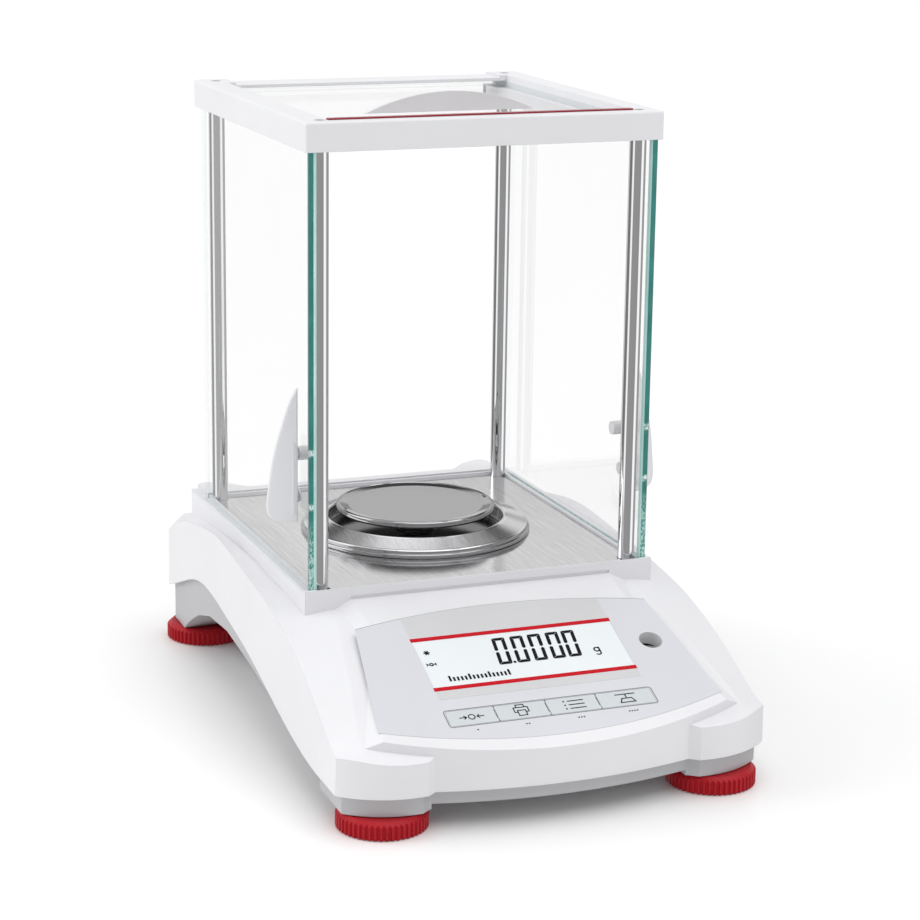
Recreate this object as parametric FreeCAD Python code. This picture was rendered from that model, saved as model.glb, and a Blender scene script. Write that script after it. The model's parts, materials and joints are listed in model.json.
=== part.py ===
"""Analytical balance with a glass draft shield, built as separate named sub-parts.

Units are millimetres. +X is the balance's right side, +Y its back, +Z up.
The origin is on the bench, under the middle of the whole balance.
"""

import math
import os

import FreeCAD, Part

V = FreeCAD.Vector

# ---------------------------------------------------------------- driving dimensions

# Housing, seen from above
FRONT_PEAK_Y = -163.5
FRONT_HALF = 61.5
FRONT_END_Y = -155.5
LEG_INNER = (65.8, -158.9)
LEG_MIDDLE = (86.8, -156.8)
LEG_OUTER = (104.5, -145.3)
REAR_SIDE = (99.3, 146.0)
REAR_ROUND = (96.4, 156.4)
REAR_TIP = (86.0, 161.0)
REAR_INSET = (74.0, 158.0)
REAR_WALL = (66.0, 152.0)
WALL = 2.5
DRAFT = 0.026

# Housing, seen from the side: back position, ridge height, inner edge and its height
FENDER = [
    (-165.0, 32.2, 92.0, 33.2),
    (-146.0, 35.8, 91.8, 38.4),
    (-123.0, 44.9, 88.0, 49.6),
    (-104.0, 54.2, 84.3, 57.8),
    (-84.0, 61.6, 80.5, 65.5),
    (-66.0, 67.1, 77.2, 71.0),
    (-45.0, 70.9, 80.0, 73.0),
    (-25.0, 73.6, 86.0, 73.4),
    (18.0, 77.8, 88.0, 75.0),
    (64.0, 80.0, 88.0, 74.6),
    (90.0, 76.8, 88.0, 73.6),
    (114.0, 72.6, 88.0, 72.0),
    (140.0, 64.3, 88.0, 68.8),
    (166.0, 54.5, 88.0, 61.0),
]
SKIRT_Z = 18.2
ARCH = [
    (-116.0, 18.2),
    (-84.0, 21.5),
    (-45.0, 29.4),
    (-4.0, 38.5),
    (40.0, 45.0),
    (72.0, 48.2),
    (90.0, 47.2),
    (112.0, 41.5),
    (135.0, 33.0),
    (151.0, 27.7),
]

# Deck, the raised block that carries the draft shield
DECK_HALF = 88.5
DECK_FRONT = -53.9
DECK_TOP = 82.6
DECK_UNDER = 77.8
EAR_SIDE = (88.5, 141.5)
EAR_CORNER = (86.2, 146.5)
EAR_TIP = (78.4, 152.0)
EAR_INNER = (67.7, 146.3)
DECK_REAR = (58.6, 136.0)

# Console, the raised sloping panel in front of the deck
PANEL_TILT = 23.0
PANEL_FOOT = (-142.8, 44.1)
PANEL_TOP = (-79.9, 70.8)
PANEL_HEAD = (-53.9, 76.9)
BEVEL_TOP = (66.3, -54.5, 76.8)
BEVEL_FOOT = (85.1, -146.3, 41.4)
BEVEL_OUT = (91.8, -145.3, 38.1)

# Marks on the console, measured across and up its slope
FILM_TOP_HALF = 73.0
FILM_TOP_S = 68.2
FILM_CROWN_S = 76.0
FILM_FOOT_HALF = 83.6
FILM_FOOT_S = -0.1
FILM_SAG_S = -14.6
FILM_T = 0.4
LCD_HALF = 49.5
WINDOW_LOW_S = 21.4
WINDOW_HIGH_S = 57.8
KEY_HALF = 50.2
KEY_LOW_S = -2.0
KEY_HIGH_S = 8.0
KEY_SPLITS = (-50.2, -26.9, -2.0, 22.9, 50.2)
KEY_GAP = 0.3
KEY_T = 1.5
LEVEL_X = 64.2
LEVEL_S = 39.4
LEVEL_R = 5.6
LEVEL_DEPTH = 2.5

# Draft shield
POST_X = 78.6
POST_FRONT = -45.7
POST_BACK = 121.0
POST_R = 4.0
POST_FOOT = 66.0
POST_HEAD = 291.5
FRAME_HALF = 87.9
FRAME_FRONT = -54.4
FRAME_BACK = 130.0
FRAME_LOW = 286.6
FRAME_TOP = 300.0
FRAME_OPEN_HALF = 70.0
FRAME_OPEN_FRONT = -40.5
REAR_BAR = 110.0
REAR_BAR_LOW = 297.2
REAR_BAR_TOP = 298.7
REAR_BAR_HALF = 71.4
LEDGE_Z = 293.7
GLASS_T = 3.0
DOOR_IN = 83.3
DOOR_FRONT = -51.7
DOOR_BACK = 122.9
DOOR_LOW = 80.9
DOOR_HIGH = 290.6
BACK_PANE_TOP = 293.2
PANE_HALF = 82.9
TOP_GLASS_HALF = 75.0
GRIP_TOP = 306.3
STRIP_TOP = 300.7
TOP_GLASS_T = 3.0

# Weighing chamber
PAN_Y = 38.2
PAN_R = 40.0
PAN_TOP = 93.7
PLATE_TOP = 81.3
PLATE_T = 1.0
PLATE_HALF = 81.7
RING_R = 58.0
RING_IN = 44.0
PAN_HOLE_R = 12.0
HOOK_HOLE_R = 11.0
MAGNET_Y = 88.0

# Door handles
FIN_Y = -36.3
FIN_T = 3.4
FIN_ROUND = 1.2
FIN_SWEEP = 23.0
HANDLE_PIN_Y = -27.0
HANDLE_PINS_Z = (142.2, 121.5)

# Levelling feet
FOOT_X = 80.9
FOOT_FRONT = -140.3
FOOT_BACK = 142.7
FOOT_R = 20.8
FOOT_H = 8.6
FOOT_RIBS = 50
STUD_R = 4.0
BOSS_LOW = 9.0
INSERT_R = 6.0
INSERT_TOP = 24.0

# Lower housing and what it carries
HOUSING_SCREWS = ((-62.0, -132.0), (62.0, -132.0), (-56.0, 60.0), (56.0, 60.0))
TRAY_INSET = 3.4
TRAY_LOW = 11.5
TRAY_FLOOR = 14.0
TRAY_SIDE = 50.0
TRAY_FRONT_H = 29.0
GRIP_IN = 72.0
PORT_Z = 20.5
PORT_Y = 148.6


# ---------------------------------------------------------------- small shape helpers


def box(x0, x1, y0, y1, z0, z1):
    """Block between two corners."""
    return Part.makeBox(x1 - x0, y1 - y0, z1 - z0, V(x0, y0, z0))


def rod(x, y, z0, z1, r):
    """Upright cylinder."""
    return Part.makeCylinder(r, z1 - z0, V(x, y, z0))


def rod_x(x0, x1, y, z, r):
    """Cylinder along X."""
    return Part.makeCylinder(r, x1 - x0, V(x0, y, z), V(1, 0, 0))


def rod_y(x, y0, y1, z, r):
    """Cylinder along Y."""
    return Part.makeCylinder(r, y1 - y0, V(x, y0, z), V(0, 1, 0))


def flip(shape):
    """Mirror image across the middle plane."""
    return shape.mirror(V(0, 0, 0), V(1, 0, 0))


def both(shape):
    """A shape together with its mirror image."""
    return shape.fuse(flip(shape))


def line(a, b):
    """Straight edge between two points."""
    return Part.makeLine(V(*a), V(*b))


def arc(a, b, c):
    """Arc through three points."""
    return Part.Arc(V(*a), V(*b), V(*c)).toShape()


def sheet_of(edges):
    """Flat face inside a loop of edges."""
    return Part.Face(Part.Wire(Part.__sortEdges__(edges)))


def polygon(points):
    """Closed wire through a list of points."""
    vectors = [V(*p) for p in points]
    return Part.makePolygon(vectors + [vectors[0]])


def slab_yz(points, x0, x1):
    """Solid with a side profile of (y, z) points, running along X."""
    face = Part.Face(polygon([(x0, y, z) for y, z in points]))
    return face.extrude(V(x1 - x0, 0, 0))


def turned(points, x, y):
    """Solid of revolution about an upright axis, from (radius, z) points."""
    face = Part.Face(polygon([(r, 0, z) for r, z in points]))
    solid = face.revolve(V(0, 0, 0), V(0, 0, 1), 360)
    solid.translate(V(x, y, 0))
    return solid


def smooth(points):
    """Smooth edge through a list of points."""
    curve = Part.BSplineCurve()
    curve.interpolate([V(*p) for p in points])
    return curve.toShape()


def on_panel(shape):
    """Moves a shape drawn flat, with up as the slope's normal, onto the console."""
    placed = shape.copy()
    placed.rotate(V(0, 0, 0), V(1, 0, 0), PANEL_TILT)
    placed.translate(V(0, PANEL_FOOT[0], PANEL_FOOT[1]))
    return placed


def rounded(x0, x1, y0, y1, z0, z1, r):
    """Block with its four upright edges rounded."""
    block = box(x0, x1, y0, y1, z0, z1)
    upright = [e for e in block.Edges if abs(e.Vertexes[0].Z - e.Vertexes[1].Z) > 0.5 * (z1 - z0)]
    return block.makeFillet(r, upright)


# ---------------------------------------------------------------- housing


def outline():
    """The housing's outline seen from above, as a face."""
    right = [
        line((FRONT_HALF, FRONT_END_Y, 0), (*LEG_INNER, 0)),
        arc((*LEG_INNER, 0), (*LEG_MIDDLE, 0), (*LEG_OUTER, 0)),
        line((*LEG_OUTER, 0), (*REAR_SIDE, 0)),
        arc((*REAR_SIDE, 0), (*REAR_ROUND, 0), (*REAR_TIP, 0)),
        line((*REAR_TIP, 0), (*REAR_INSET, 0)),
        line((*REAR_INSET, 0), (*REAR_WALL, 0)),
    ]
    left = [flip(edge) for edge in right]
    front = arc((-FRONT_HALF, FRONT_END_Y, 0), (0, FRONT_PEAK_Y, 0), (FRONT_HALF, FRONT_END_Y, 0))
    back = line((REAR_WALL[0], REAR_WALL[1], 0), (-REAR_WALL[0], REAR_WALL[1], 0))
    return sheet_of(right + left + [front, back])


def outline_block(inset, z0, z1):
    """The outline drawn in by a distance and raised between two heights."""
    face = outline()
    if inset > 0:
        face = face.makeOffset2D(-inset)
    face.translate(V(0, 0, z0))
    return face.extrude(V(0, 0, z1 - z0))


def side_x(y):
    """Half-width of the housing's skirt at a distance from front to back."""
    share = (y - LEG_OUTER[1]) / (REAR_SIDE[1] - LEG_OUTER[1])
    return LEG_OUTER[0] + share * (REAR_SIDE[0] - LEG_OUTER[0])


def fender_section(y, ridge_z, inner_x, inner_z, inset, low):
    """Cross-section of the housing's flanks at one station."""
    foot_x = side_x(y) - 1.15 * inset
    ridge_x = foot_x - DRAFT * (ridge_z - SKIRT_Z)
    top_r = ridge_z - inset
    top_i = inner_z - inset
    half = [(foot_x, y, low), (ridge_x, y, top_r), (inner_x, y, top_i)]
    return polygon(half + [(-x, yy, z) for x, yy, z in reversed(half)])


def fenders(inset, low):
    """The housing's flanks, swept from front to back."""
    sections = [fender_section(*station, inset, low) for station in FENDER]
    body = Part.makeLoft(sections, True, False)
    return body.common(outline_block(inset, low - 1, 120))


def deck_block(inset, low):
    """The raised deck with its two rear ears."""
    right = [(DECK_HALF, DECK_FRONT), EAR_SIDE, EAR_CORNER, EAR_TIP, EAR_INNER, DECK_REAR]
    left = [(-x, y) for x, y in reversed(right)]
    face = Part.Face(polygon([(x, y, low) for x, y in right + left]))
    top = DECK_TOP
    if inset > 0:
        face = face.makeOffset2D(-inset)
        top = DECK_UNDER
    return face.extrude(V(0, 0, top - low))


def bevel_cutter(inset):
    """Block that cuts the console's right-hand bevel."""
    a = V(*BEVEL_TOP)
    b = V(*BEVEL_FOOT)
    c = V(*BEVEL_OUT)
    along = (b - a).normalize()
    across = (c - b).normalize()
    normal = across.cross(along).normalize()
    if normal.z < 0:
        normal = normal * -1
    start = a - along * 60 - across * 60 - normal * inset
    end = b + along * 60 - across * 60 - normal * inset
    far = across * 160
    face = Part.Face(polygon([start, end, end + far, start + far]))
    return face.extrude(normal * 80)


def front_drum(inset):
    """Upright drum whose wall is the console's bowed front face."""
    rise = FRONT_END_Y - FRONT_PEAK_Y
    radius = (FRONT_HALF**2 + rise**2) / (2 * rise)
    return rod(0, FRONT_PEAK_Y + radius, 0, 120, radius - inset)


def console(inset, low):
    """The sloping console with its bevelled flanks."""
    slope = math.tan(math.radians(PANEL_TILT))
    nose_y = -165.0
    nose_z = PANEL_FOOT[1] + (nose_y - PANEL_FOOT[0]) * slope
    back_y = DECK_FRONT + WALL + 2.0
    profile = [
        (back_y, PANEL_HEAD[1] - inset),
        (PANEL_HEAD[0], PANEL_HEAD[1] - inset),
        (PANEL_TOP[0], PANEL_TOP[1] - inset),
        (nose_y, nose_z - inset),
        (nose_y, low),
        (back_y, low),
    ]
    body = slab_yz(profile, -94, 94)
    cutter = bevel_cutter(inset)
    body = body.cut(cutter).cut(flip(cutter))
    return body.common(front_drum(inset))


def housing_mass(inset, low):
    """Everything the upper housing's skin encloses."""
    deck_low = 55.0
    body = fenders(inset, low)
    body = body.fuse(deck_block(inset, deck_low))
    return body.fuse(console(inset, 30.0 - inset)).removeSplitter()


def arch_cutter():
    """The hand-grip arches and the raised rear hem."""
    edges = [smooth([(-115, y, z) for y, z in ARCH])]
    y0, z0 = ARCH[0]
    y1, z1 = ARCH[-1]
    edges.append(line((-115, y1, z1), (-115, 175, z1)))
    edges.append(line((-115, 175, z1), (-115, 175, 5)))
    edges.append(line((-115, 175, 5), (-115, y0, 5)))
    edges.append(line((-115, y0, 5), (-115, y0, z0)))
    return sheet_of(edges).extrude(V(230, 0, 0))


def deck_pockets():
    """Everything sunk into the top of the deck."""
    plate_seat = box(-82.0, 82.0, -49.6, 124.2, PLATE_TOP - PLATE_T, 90)
    front_seat = box(-83.1, 83.1, -53.0, -49.6, PLATE_TOP - PLATE_T, 90)
    back_seat = box(-83.1, 83.1, 125.7, 129.0, PLATE_TOP - PLATE_T, 90)
    track = box(83.0, 86.6, -52.0, 160, 80.6, 90)
    outer_rim = box(86.6, 90, -52.0, 160, 81.7, 90)
    pockets = plate_seat.fuse([front_seat, back_seat, both(track), both(outer_rim)])
    for y in (POST_FRONT, POST_BACK):
        pockets = pockets.fuse(both(rod(POST_X, y, 60, 90, POST_R + 0.05)))
    return pockets.fuse(rod(0, PAN_Y, 60, 90, PAN_HOLE_R))


def film_face(grow):
    """The overlay's outline, flat."""
    top = FILM_TOP_HALF + grow
    foot = FILM_FOOT_HALF + grow
    high = FILM_TOP_S + grow
    low = FILM_FOOT_S - grow
    edges = [
        arc((-top, high, 0), (0, FILM_CROWN_S + grow, 0), (top, high, 0)),
        line((top, high, 0), (foot, low, 0)),
        arc((foot, low, 0), (0, FILM_SAG_S - grow, 0), (-foot, low, 0)),
        line((-foot, low, 0), (-top, high, 0)),
    ]
    return sheet_of(edges)


def console_pockets():
    """Recess for the overlay and the openings for display, keys and level."""
    seat = film_face(0.15)
    seat.translate(V(0, 0, -FILM_T))
    seat = seat.extrude(V(0, 0, 2.0))
    window = box(-51.6, 51.6, 14.4, 67.6, -12, 1)
    keys = rounded(-50.4, 50.4, KEY_LOW_S - 0.2, KEY_HIGH_S + 0.2, -12, 1, 1.4)
    level = rod(LEVEL_X, LEVEL_S, -12, 1, LEVEL_R + 0.1)
    return on_panel(seat.fuse([window, keys, level]))


def shadow_gap():
    """Narrow gap between the console's head and the deck above it."""
    return box(-66.0, 66.0, DECK_FRONT - 1, DECK_FRONT + 0.6, PANEL_HEAD[1] + 0.1, PANEL_HEAD[1] + 1.5)


def post_sockets():
    """Sleeves under the deck that hold the four posts."""
    sleeves = []
    for y in (POST_FRONT, POST_BACK):
        sleeve = rod(POST_X, y, POST_FOOT - 3, DECK_UNDER + 0.5, 6.6)
        sleeves.append(both(sleeve))
    return sleeves


def housing_bosses():
    """Screw bosses inside the upper housing."""
    bosses = []
    for x, y in HOUSING_SCREWS:
        top = DECK_UNDER + 0.5 if y > 0 else 46.8
        bosses.append(rod(x, y, 31.0, top, 4.0))
    return bosses


def upper_housing():
    """Moulded white shell with deck, console, flanks and front legs."""
    shell = housing_mass(0, SKIRT_Z).cut(housing_mass(WALL, SKIRT_Z - 1))
    shell = shell.fuse(post_sockets() + housing_bosses())
    shell = shell.cut(arch_cutter())
    shell = shell.cut(deck_pockets())
    shell = shell.cut(console_pockets())
    shell = shell.cut(shadow_gap())
    for x, y in HOUSING_SCREWS:
        shell = shell.cut(rod(x, y, 20.0, 40.0, 1.6))
    return shell.removeSplitter()


def grip_tunnel(grow):
    """Space under each side that the fingers reach into to lift the balance."""
    profile = [
        (-112.0 - grow, 0.0),
        (-112.0 - grow, 14.0),
        (-84.0, 17.0 + grow),
        (-45.0, 24.0 + grow),
        (0.0, 30.0 + grow),
        (45.0, 34.0 + grow),
        (78.0, 31.5 + grow),
        (100.0, 25.5 + grow),
        (114.0, 19.0 + grow),
        (124.0, 13.5 + grow),
        (131.0 + grow, 9.0),
        (131.0 + grow, 0.0),
    ]
    return both(slab_yz(profile, GRIP_IN - grow, 115.0))


def tray_mass(inset, low):
    """The lower housing's outside or inside, before the tunnels."""
    tall = outline_block(inset, low, TRAY_SIDE).common(box(-110, 110, -60, 170, 0, 60))
    short = outline_block(inset, low, TRAY_FRONT_H).common(box(-110, 110, -170, -60, 0, 60))
    return tall.fuse(short)


def foot_boss(y):
    """Solid pad of the lower housing above one foot."""
    return rod(FOOT_X, y, TRAY_LOW, INSERT_TOP + 1.0, INSERT_R + 3.0)


def lower_housing():
    """Grey bottom shell with four foot bosses and two finger tunnels."""
    outer = tray_mass(TRAY_INSET, BOSS_LOW)
    middle = box(-62, 62, -170, 170, 0, TRAY_LOW)
    outer = outer.cut(grip_tunnel(0)).cut(middle)
    inner = tray_mass(TRAY_INSET + WALL, TRAY_FLOOR).cut(grip_tunnel(WALL))
    tray = outer.cut(inner)
    skin = box(-110, 110, -90, 175, 30, 60).cut(fenders(WALL + 0.15, SKIRT_Z - 1))
    tray = tray.cut(skin)
    for y in (FOOT_FRONT, FOOT_BACK):
        tray = tray.fuse(both(foot_boss(y)))
    for x, y in HOUSING_SCREWS:
        tray = tray.fuse(rod(x, y, TRAY_FLOOR - 0.5, 30.8, 4.5))
        tray = tray.cut(rod(x, y, 5.0, 31.0, 1.75))
        tray = tray.cut(rod(x, y, 5.0, 27.0, 3.0))
    for y in (FOOT_FRONT, FOOT_BACK):
        tray = tray.cut(both(rod(FOOT_X, y, 5.0, INSERT_TOP, INSERT_R)))
    return finish_tray(tray)


def finish_tray(tray):
    """Holes in the lower housing for the ports, the hook and the load cell."""
    tray = tray.cut(box(-47.2, -36.8, 140, 156, PORT_Z - 5.2, PORT_Z + 5.2))
    tray = tray.cut(box(-16.0, 16.0, 140, 156, PORT_Z - 5.6, PORT_Z + 5.6))
    tray = tray.cut(box(31.8, 44.2, 140, 156, PORT_Z - 5.6, PORT_Z + 5.6))
    tray = tray.cut(rod(0, PAN_Y, 5, 20, HOOK_HOLE_R))
    tray = tray.cut(rod(0, PAN_Y, 5, TRAY_LOW + 1.2, 15.2))
    tray = tray.cut(box(-62.5, -60.0, 140, 156, 17.0, 24.0))
    return tray.removeSplitter()


def housing_screws():
    """Screws that hold the two housings together."""
    parts = []
    for x, y in HOUSING_SCREWS:
        shank = rod(x, y, 26.0, 38.0, 1.55)
        head = rod(x, y, 24.0, 26.9, 2.9)
        slot = box(x - 2.0, x + 2.0, y - 0.4, y + 0.4, 23.0, 25.2)
        parts.append(shank.fuse(head).cut(slot).removeSplitter())
    return Part.makeCompound(parts)


# ---------------------------------------------------------------- console parts


def overlay_film():
    """Printed film over the console."""
    film = film_face(0)
    film.translate(V(0, 0, -FILM_T))
    film = film.extrude(V(0, 0, FILM_T))
    window = box(-LCD_HALF, LCD_HALF, WINDOW_LOW_S, WINDOW_HIGH_S, -1, 1)
    keys = rounded(-KEY_HALF, KEY_HALF, KEY_LOW_S, KEY_HIGH_S, -1, 1, 1.2)
    level = rod(LEVEL_X, LEVEL_S, -1, 1, LEVEL_R)
    return on_panel(film.cut(window).cut(keys).cut(level))


def display_window():
    """Clear lens in the film's window."""
    lens = box(-51.4, 51.4, 14.6, 67.4, -1.8, -FILM_T)
    half = LCD_HALF - 0.05
    raised = box(-half, half, WINDOW_LOW_S + 0.05, WINDOW_HIGH_S - 0.05, -FILM_T, -0.05)
    return on_panel(lens.fuse(raised).removeSplitter())


def display_glass():
    """Liquid-crystal cell under the lens."""
    return on_panel(box(-51.0, 51.0, 15.0, 66.0, -4.6, -1.9))


def display_backlight():
    """Light guide and frame behind the liquid-crystal cell."""
    guide = box(-52.0, 52.0, 14.0, 67.0, -7.6, -4.7)
    tab = box(52.0, 55.0, 30.0, 50.0, -7.6, -6.4)
    return on_panel(guide.fuse(tab).removeSplitter())


def display_board():
    """Circuit board behind the display and keys."""
    board = box(-56.2, 56.2, -8.0, 66.5, -9.4, -7.8)
    for s in (-5.0, 63.5):
        board = board.cut(both(rod(54.5, s, -12, -5, 1.3)))
    chips = [box(-30, -18, 38, 50, -10.8, -9.4), box(6, 20, 20, 30, -10.6, -9.4)]
    return on_panel(board.fuse(chips).removeSplitter())


def key_switches():
    """Four push switches on the display board."""
    parts = []
    for left, right in zip(KEY_SPLITS[:-1], KEY_SPLITS[1:]):
        x = 0.5 * (left + right)
        can = box(x - 3.0, x + 3.0, 0.0, 6.0, -7.8, -3.6)
        plunger = rod(x, 3.0, -3.6, -2.1, 1.7)
        parts.append(on_panel(can.fuse(plunger).removeSplitter()))
    return Part.makeCompound(parts)


def key_cap(index):
    """One key of the strip."""
    x0 = KEY_SPLITS[index] + 0.5 * KEY_GAP
    x1 = KEY_SPLITS[index + 1] - 0.5 * KEY_GAP
    cap = rounded(x0, x1, KEY_LOW_S + 0.2, KEY_HIGH_S - 0.2, -KEY_T, 0, 0.8)
    return on_panel(cap)


def level_cup():
    """Seat of the spirit level inside the console."""
    centre = on_panel(Part.Vertex(LEVEL_X, LEVEL_S, -LEVEL_DEPTH)).Point
    x = centre.x
    y = centre.y
    cup = rod(x, y, 42.5, 54.0, 7.6).cut(rod(x, y, 44.5, 60.0, 6.1))
    return cup


def level_vial():
    """Round spirit level."""
    centre = on_panel(Part.Vertex(LEVEL_X, LEVEL_S, -LEVEL_DEPTH)).Point
    body = rod(centre.x, centre.y, 44.5, 52.0, 6.0)
    dome = Part.makeSphere(14.0, V(centre.x, centre.y, 39.5))
    return body.fuse(dome.common(rod(centre.x, centre.y, 50.0, 56.0, 5.2))).removeSplitter()


# ---------------------------------------------------------------- draft shield


def post(x, y):
    """Steel post with a threaded hole in its head."""
    bar = rod(x, y, POST_FOOT, POST_HEAD, POST_R)
    return bar.cut(rod(x, y, POST_HEAD - 14, POST_HEAD + 1, 1.6))


def top_frame():
    """White frame that ties the posts and carries the sliding top door."""
    frame = box(-FRAME_HALF, FRAME_HALF, FRAME_FRONT, FRAME_BACK, FRAME_LOW, FRAME_TOP)
    rim = [e for e in frame.Edges if min(v.Z for v in e.Vertexes) > FRAME_TOP - 0.1]
    upright = [e for e in frame.Edges if abs(e.Vertexes[0].Z - e.Vertexes[1].Z) > 5]
    frame = frame.makeFillet(1.2, rim + upright)
    opening = box(-FRAME_OPEN_HALF, FRAME_OPEN_HALF, FRAME_OPEN_FRONT, 140, 280, REAR_BAR_LOW)
    window = box(-FRAME_OPEN_HALF, FRAME_OPEN_HALF, FRAME_OPEN_FRONT, REAR_BAR, 290, 310)
    slot = box(-75.3, 75.3, -47.4, 140, LEDGE_Z, REAR_BAR_LOW)
    well = box(-75.3, 75.3, -47.4, REAR_BAR, LEDGE_Z, 310)
    sill = box(-REAR_BAR_HALF, REAR_BAR_HALF, REAR_BAR - 1, 140, REAR_BAR_TOP, 310)
    frame = frame.cut(opening).cut(window).cut(slot).cut(well).cut(sill)
    track = box(DOOR_IN - 0.2, DOOR_IN + GLASS_T + 0.2, DOOR_FRONT - 0.4, 140, 280, DOOR_HIGH + 0.4)
    front_seat = box(-83.1, 83.1, -53.0, -49.6, 280, 289.2)
    back_seat = box(-83.1, 83.1, 125.7, 129.0, 280, BACK_PANE_TOP + 0.1)
    frame = frame.cut(both(track)).cut(front_seat).cut(back_seat)
    for y in (POST_FRONT, POST_BACK):
        frame = frame.cut(both(rod(POST_X, y, 280, POST_HEAD, POST_R + 0.05)))
        frame = frame.cut(both(rod(POST_X, y, 280, 310, 1.8)))
        frame = frame.cut(both(rod(POST_X, y, 297.2, 310, 2.6)))
    return frame.removeSplitter()


def frame_screws():
    """Four screws through the top frame into the posts."""
    parts = []
    for x in (-POST_X, POST_X):
        for y in (POST_FRONT, POST_BACK):
            shank = rod(x, y, POST_HEAD - 12, 297.2, 1.55)
            head = rod(x, y, 297.2, 299.2, 2.5)
            recess = box(x - 1.6, x + 1.6, y - 0.3, y + 0.3, 298.2, 300)
            cross = box(x - 0.3, x + 0.3, y - 1.6, y + 1.6, 298.2, 300)
            parts.append(shank.fuse(head).cut(recess).cut(cross).removeSplitter())
    return Part.makeCompound(parts)


def front_pane():
    """Fixed glass at the front of the chamber."""
    return box(-PANE_HALF, PANE_HALF, -52.9, -49.9, PLATE_TOP - PLATE_T, 289.1)


def back_pane():
    """Fixed glass at the back of the chamber."""
    return box(-PANE_HALF, PANE_HALF, 125.85, 128.85, PLATE_TOP - PLATE_T, BACK_PANE_TOP)


def floor_plate():
    """Brushed steel floor of the chamber."""
    plate = box(-PLATE_HALF, PLATE_HALF, -49.4, 122.4, PLATE_TOP - PLATE_T, PLATE_TOP)
    corner = box(POST_X - POST_R - 0.3, 90, -60, POST_FRONT, 70, 90)
    plate = plate.cut(both(corner))
    for y in (POST_FRONT, POST_BACK):
        plate = plate.cut(both(rod(POST_X, y, 70, 90, POST_R + 0.3)))
    return plate.cut(rod(0, PAN_Y, 70, 90, PAN_HOLE_R))


def door_glass():
    """Right-hand sliding glass door."""
    glass = box(DOOR_IN, DOOR_IN + GLASS_T, DOOR_FRONT, DOOR_BACK, DOOR_LOW, DOOR_HIGH)
    for z in HANDLE_PINS_Z:
        glass = glass.cut(rod_x(80, 90, HANDLE_PIN_Y, z, 2.1))
    return glass


def fin_blade():
    """Shark-fin blade of the right-hand handle, swept back from the door."""
    curve = smooth(
        [
            (0.0, 0, 176.3),
            (3.7, 0, 169.9),
            (7.7, 0, 157.9),
            (11.0, 0, 145.9),
            (13.2, 0, 133.8),
            (14.4, 0, 124.2),
            (14.8, 0, 117.9),
            (13.5, 0, 113.6),
            (10.2, 0, 111.7),
            (0.0, 0, 111.3),
        ]
    )
    spine = line((0.0, 0, 111.3), (0.0, 0, 176.3))
    blade = Part.Face(Part.Wire([curve, spine])).extrude(V(0, FIN_T, 0))
    rims = [e for e in blade.Edges if e.BoundBox.XLength > 5 and e.BoundBox.ZLength > 5]
    blade = blade.makeFillet(FIN_ROUND, rims)
    blade.rotate(V(0, 0, 0), V(0, 0, 1), FIN_SWEEP)
    blade.translate(V(DOOR_IN + GLASS_T, FIN_Y, 0))
    inside = box(DOOR_IN - 20, DOOR_IN + GLASS_T, FIN_Y - 10, FIN_Y + 20, 100, 180)
    return blade.cut(inside)


def door_handle():
    """Right-hand handle: blade, base and the two pins that pass through the glass."""
    x0 = DOOR_IN + GLASS_T
    base = box(x0, x0 + 2.0, FIN_Y, HANDLE_PIN_Y + 5.0, 113.0, 151.0)
    upright = [e for e in base.Edges if abs(e.Vertexes[0].X - e.Vertexes[1].X) > 1.0]
    base = base.makeFillet(3.5, upright)
    seat = box(x0, x0 + 0.6, FIN_Y, FIN_Y + 4.0, 112.5, 174.0)
    handle = fin_blade().fuse([base, seat])
    for z in HANDLE_PINS_Z:
        handle = handle.fuse(rod_x(82.9, x0 + 1.0, HANDLE_PIN_Y, z, 2.0))
    return handle.removeSplitter()


def handle_caps():
    """Long and short round caps inside the right-hand door that hold its handle."""
    parts = []
    for z, r, inner in zip(HANDLE_PINS_Z, (3.3, 2.9), (77.8, 82.3)):
        cap = rod_x(inner, DOOR_IN, HANDLE_PIN_Y, z, r)
        parts.append(cap.cut(rod_x(82.9, DOOR_IN, HANDLE_PIN_Y, z, 2.0)))
    return Part.makeCompound(parts)


def top_glass():
    """Sliding glass top door."""
    low = LEDGE_Z + 0.2
    return box(-TOP_GLASS_HALF, TOP_GLASS_HALF, -45.3, 129.6, low, low + TOP_GLASS_T)


def top_edge_strip():
    """Dark red strip along the front edge of the top door."""
    low = LEDGE_Z + 0.2
    strip = box(-75.0, 75.0, -47.0, -45.3, low, STRIP_TOP)
    lip = box(-75.0, 75.0, -45.3, -43.8, low + TOP_GLASS_T, STRIP_TOP)
    return strip.fuse(lip).removeSplitter()


def top_grip():
    """Half-moon finger grip that stands on the top door."""
    low = LEDGE_Z + 0.2 + TOP_GLASS_T
    edges = [
        arc((-42.4, -4.6, low), (0, -4.6, GRIP_TOP), (42.4, -4.6, low)),
        line((42.4, -4.6, low), (-42.4, -4.6, low)),
    ]
    return Part.Face(Part.Wire(edges)).extrude(V(0, 3.6, 0))


# ---------------------------------------------------------------- weighing system


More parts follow.
